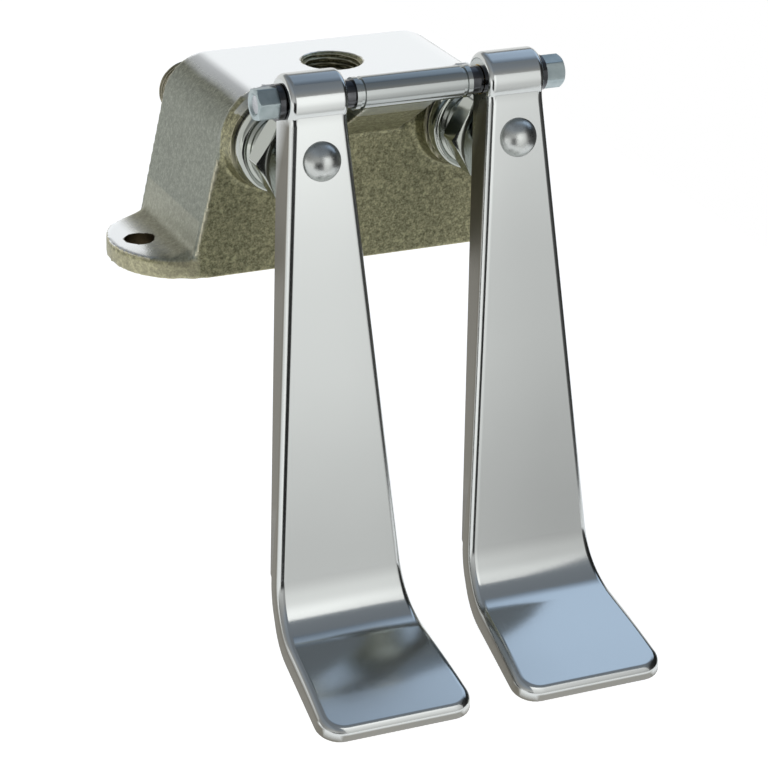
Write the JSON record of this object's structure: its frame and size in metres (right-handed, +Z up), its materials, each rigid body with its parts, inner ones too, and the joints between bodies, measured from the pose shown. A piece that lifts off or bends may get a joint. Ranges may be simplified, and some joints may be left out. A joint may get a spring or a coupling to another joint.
{
  "type": "foot pedal tap valve",
  "caption": "Floor-mounted foot tap valve: a plated cast body with a top outlet and rear inlets, and hinged pedals that each push a spring-closed plunger to let the water through.",
  "frame": {"origin": "on the base plane, midway between the two fixing holes", "axes": "+X along the hinge rod towards the right-hand pedal, -Y towards the user's foot, +Z up"},
  "size_m": [0.165, 0.1987, 0.1996],
  "materials": {
    "plated_casting": "sand-cast brass with a dull nickel plate, the top face polished",
    "chrome": "polished chrome plate",
    "zinc": "bright zinc-plated steel",
    "brass": "machined brass",
    "steel": "ground stainless steel",
    "rubber": "black nitrile rubber"
  },
  "bodies": {
    "valve_body": {"body_casting": "plated_casting", "hinge_rod": "steel", "rod_nuts": "zinc", "rod_washers": "zinc", "pivot_spacers": "steel", "left_bonnet": "chrome", "left_gasket": "rubber", "left_plunger_ring": "rubber", "left_spring": "steel", "left_seat_sleeve": "brass", "left_sleeve_ring": "rubber", "right_bonnet": "chrome", "right_gasket": "rubber", "right_plunger_ring": "rubber", "right_spring": "steel", "right_seat_sleeve": "brass", "right_sleeve_ring": "rubber"},
    "left_pedal": {"left_pedal": "chrome", "left_bush": "brass", "left_push_screw": "chrome", "left_push_nut": "zinc"},
    "left_plunger": {"left_plunger": "steel", "left_plunger_cap": "chrome", "left_disc_cup": "brass", "left_valve_disc": "rubber", "left_disc_nut": "brass"},
    "right_pedal": {"right_pedal": "chrome", "right_bush": "brass", "right_push_screw": "chrome", "right_push_nut": "zinc"},
    "right_plunger": {"right_plunger": "steel", "right_plunger_cap": "chrome", "right_disc_cup": "brass", "right_valve_disc": "rubber", "right_disc_nut": "brass"}
  },
  "joints": [
    {"name": "left_pedal_hinge", "type": "hinge", "parent": "valve_body", "child": "left_pedal", "pos_m": [-0.0357, -0.0616, 0.073], "axis": [1, 0, 0], "range_deg": [0, 10], "stiffness_Nm_per_rad": 1.93, "springref_deg": -17.53},
    {"name": "left_plunger_slide", "type": "slide", "parent": "valve_body", "child": "left_plunger", "axis": [0, 1, 0], "range_m": [0, 0.0038], "deforming": ["left_spring"]},
    {"name": "right_pedal_hinge", "type": "hinge", "parent": "valve_body", "child": "right_pedal", "pos_m": [0.0357, -0.0616, 0.073], "axis": [1, 0, 0], "range_deg": [0, 10], "stiffness_Nm_per_rad": 1.93, "springref_deg": -17.53},
    {"name": "right_plunger_slide", "type": "slide", "parent": "valve_body", "child": "right_plunger", "axis": [0, 1, 0], "range_m": [0, 0.0038], "deforming": ["right_spring"]}
  ],
  "couplings": [
    {"joint": "left_plunger_slide", "follows": "left_pedal_hinge", "m_per_rad": 0.0196},
    {"joint": "right_plunger_slide", "follows": "right_pedal_hinge", "m_per_rad": 0.0196}
  ]
}
